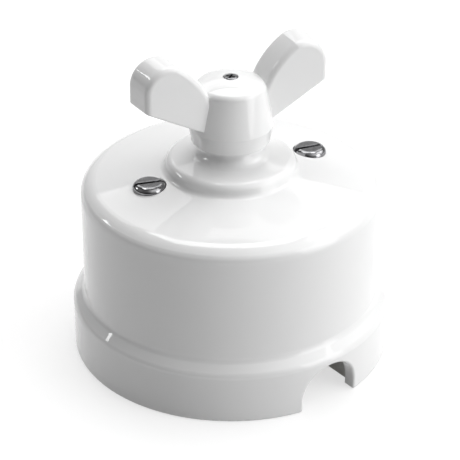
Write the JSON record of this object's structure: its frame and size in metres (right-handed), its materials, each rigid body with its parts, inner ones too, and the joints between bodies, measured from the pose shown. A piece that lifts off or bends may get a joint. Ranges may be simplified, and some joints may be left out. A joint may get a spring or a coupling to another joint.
{
  "type": "rotary two-way switch",
  "caption": "Round surface-mounted porcelain rotary switch with a winged knob, slotted cover screws and a cable notch in its stepped foot.",
  "frame": {"origin": "on the spindle axis, in the plane of the wall that the base stands on", "axes": "+Z out of the wall along the spindle, -Y towards the cable notch in the cover's foot"},
  "size_m": [0.067, 0.067, 0.0677],
  "materials": {
    "glazed_porcelain": "gloss white glaze",
    "base_porcelain": "satin white porcelain",
    "chrome_plated_steel": "mirror chrome plating",
    "zinc_plated_steel": "satin zinc plating",
    "spring_steel": "blued spring steel",
    "brass": "turned brass",
    "phosphor_bronze": "rolled bronze strip",
    "phenolic": "moulded phenolic"
  },
  "bodies": {
    "housing": {"cover": "glazed_porcelain", "base": "base_porcelain", "yoke": "zinc_plated_steel", "pillars": "brass", "pillar_screws": "zinc_plated_steel", "cover_screws": "chrome_plated_steel", "lower_bush": "brass", "thrust_washer": "zinc_plated_steel", "upper_bush": "brass", "detent_spring": "spring_steel", "first_terminal": "brass", "second_terminal": "brass", "common_terminal": "brass", "first_contact_spring": "phosphor_bronze", "second_contact_spring": "phosphor_bronze", "common_contact_spring": "phosphor_bronze", "wire_screws": "brass", "terminal_screws": "zinc_plated_steel"},
    "rotor": {"knob": "glazed_porcelain", "knob_screw": "chrome_plated_steel", "spindle": "brass", "drum": "phenolic", "contact_band": "brass", "detent_cam": "zinc_plated_steel"}
  },
  "joints": [
    {"name": "knob_turn", "type": "hinge", "parent": "housing", "child": "rotor", "pos_m": [0, 0, 0.05], "axis": [0, 0, 1], "continuous": true, "deforming": ["detent_spring"]}
  ]
}
